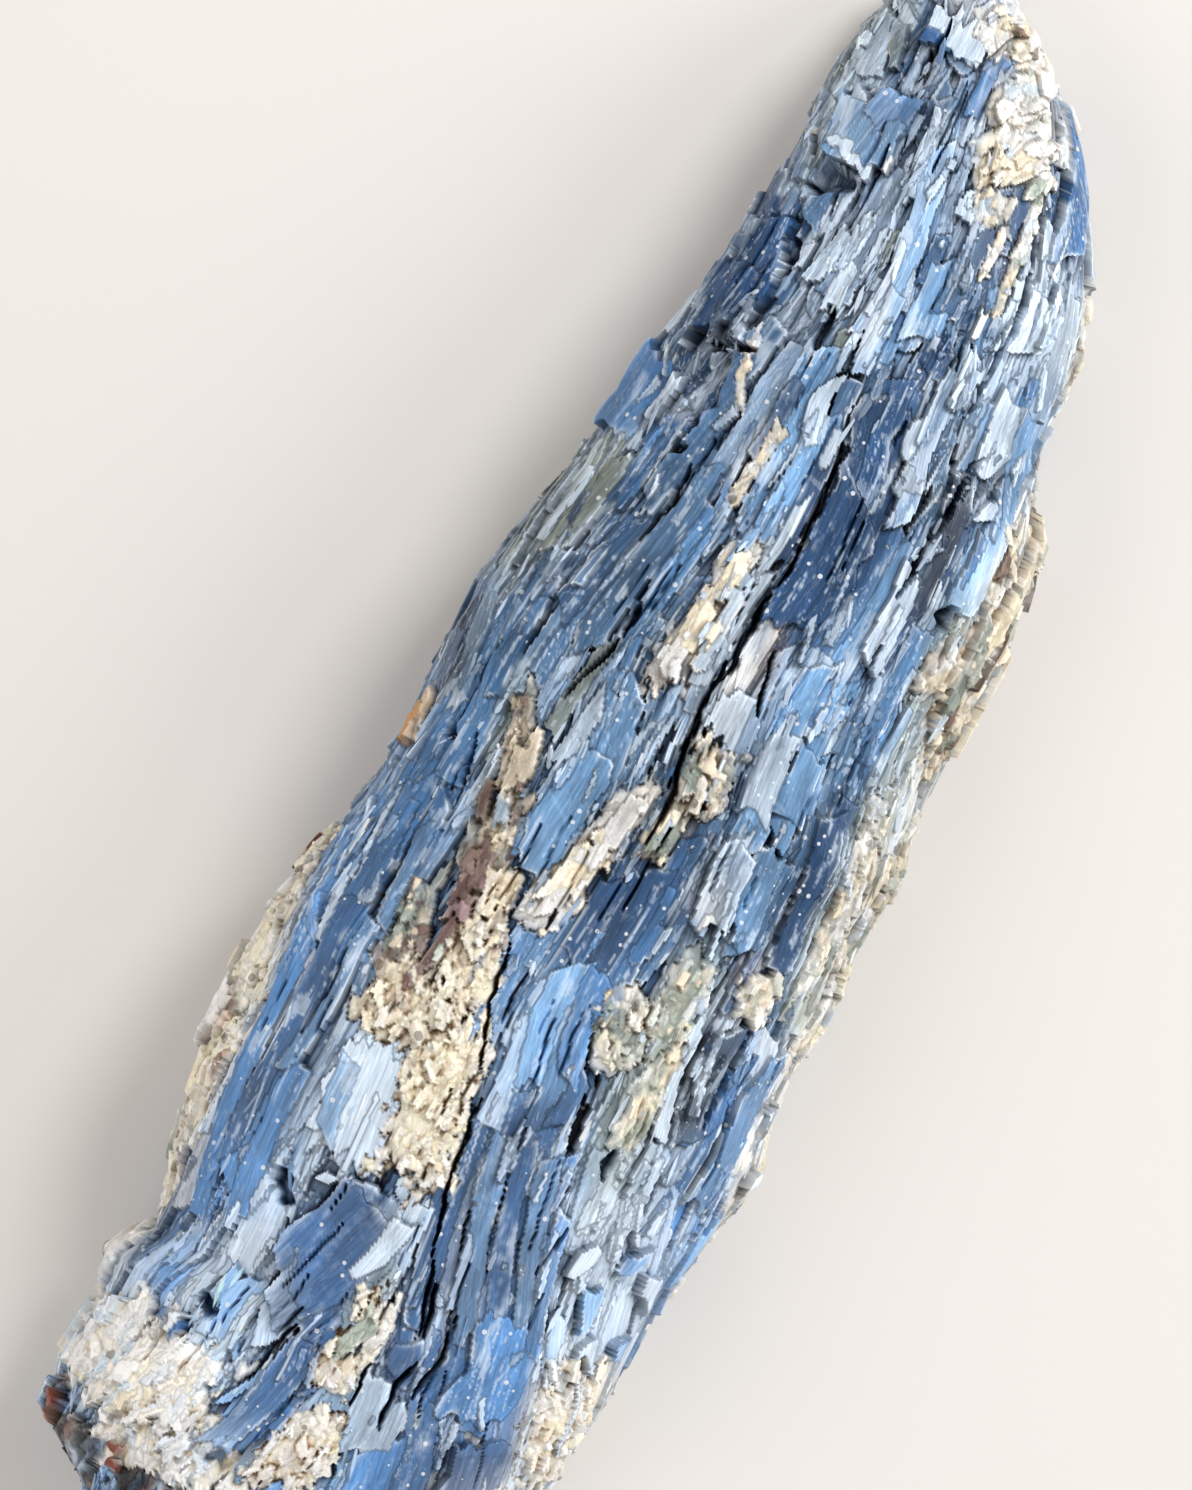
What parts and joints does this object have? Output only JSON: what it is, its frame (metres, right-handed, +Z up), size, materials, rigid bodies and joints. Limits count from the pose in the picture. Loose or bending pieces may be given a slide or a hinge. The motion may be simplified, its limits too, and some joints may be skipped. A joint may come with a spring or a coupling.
{
  "type": "kyanite blade cluster",
  "caption": "Slab-shaped cluster of blue kyanite blades grown together lengthwise, with pockets of cream quartz and dark mica, lying on a flat cleavage face.",
  "frame": {"origin": "bottom centre of the bounding box, on the flat face that the cluster lies on", "axes": "+Y along the blades towards the pointed head, +X across to the side with the quartz band, +Z up out of the bladed side"},
  "size_m": [0.0602, 0.1828, 0.03],
  "materials": {
    "kyanite": "vitreous to pearly",
    "cream_quartz": "rough granular",
    "pale_quartz": "rough granular",
    "iron_stained_quartz": "rough",
    "brown_mica": "pearly",
    "olive_feldspar": "rough granular",
    "speckled_matrix": "rough granular",
    "white_crust": "rough",
    "biotite": "glossy flakes"
  },
  "bodies": {
    "root": {"kyanite_blades": "kyanite", "head_quartz_crust": "cream_quartz", "right_quartz_band": "cream_quartz", "right_quartz_edge": "pale_quartz", "upper_quartz_pocket": "pale_quartz", "quartz_nugget": "cream_quartz", "iron_stained_nodule": "iron_stained_quartz", "cleft_mica_vein": "brown_mica", "quartz_wedge": "pale_quartz", "lower_quartz_pocket": "cream_quartz", "right_feldspar_pocket": "olive_feldspar", "left_matrix": "speckled_matrix", "foot_quartz_pocket": "cream_quartz", "foot_white_crust": "white_crust", "foot_biotite_clot": "biotite"}
  },
  "joints": []
}
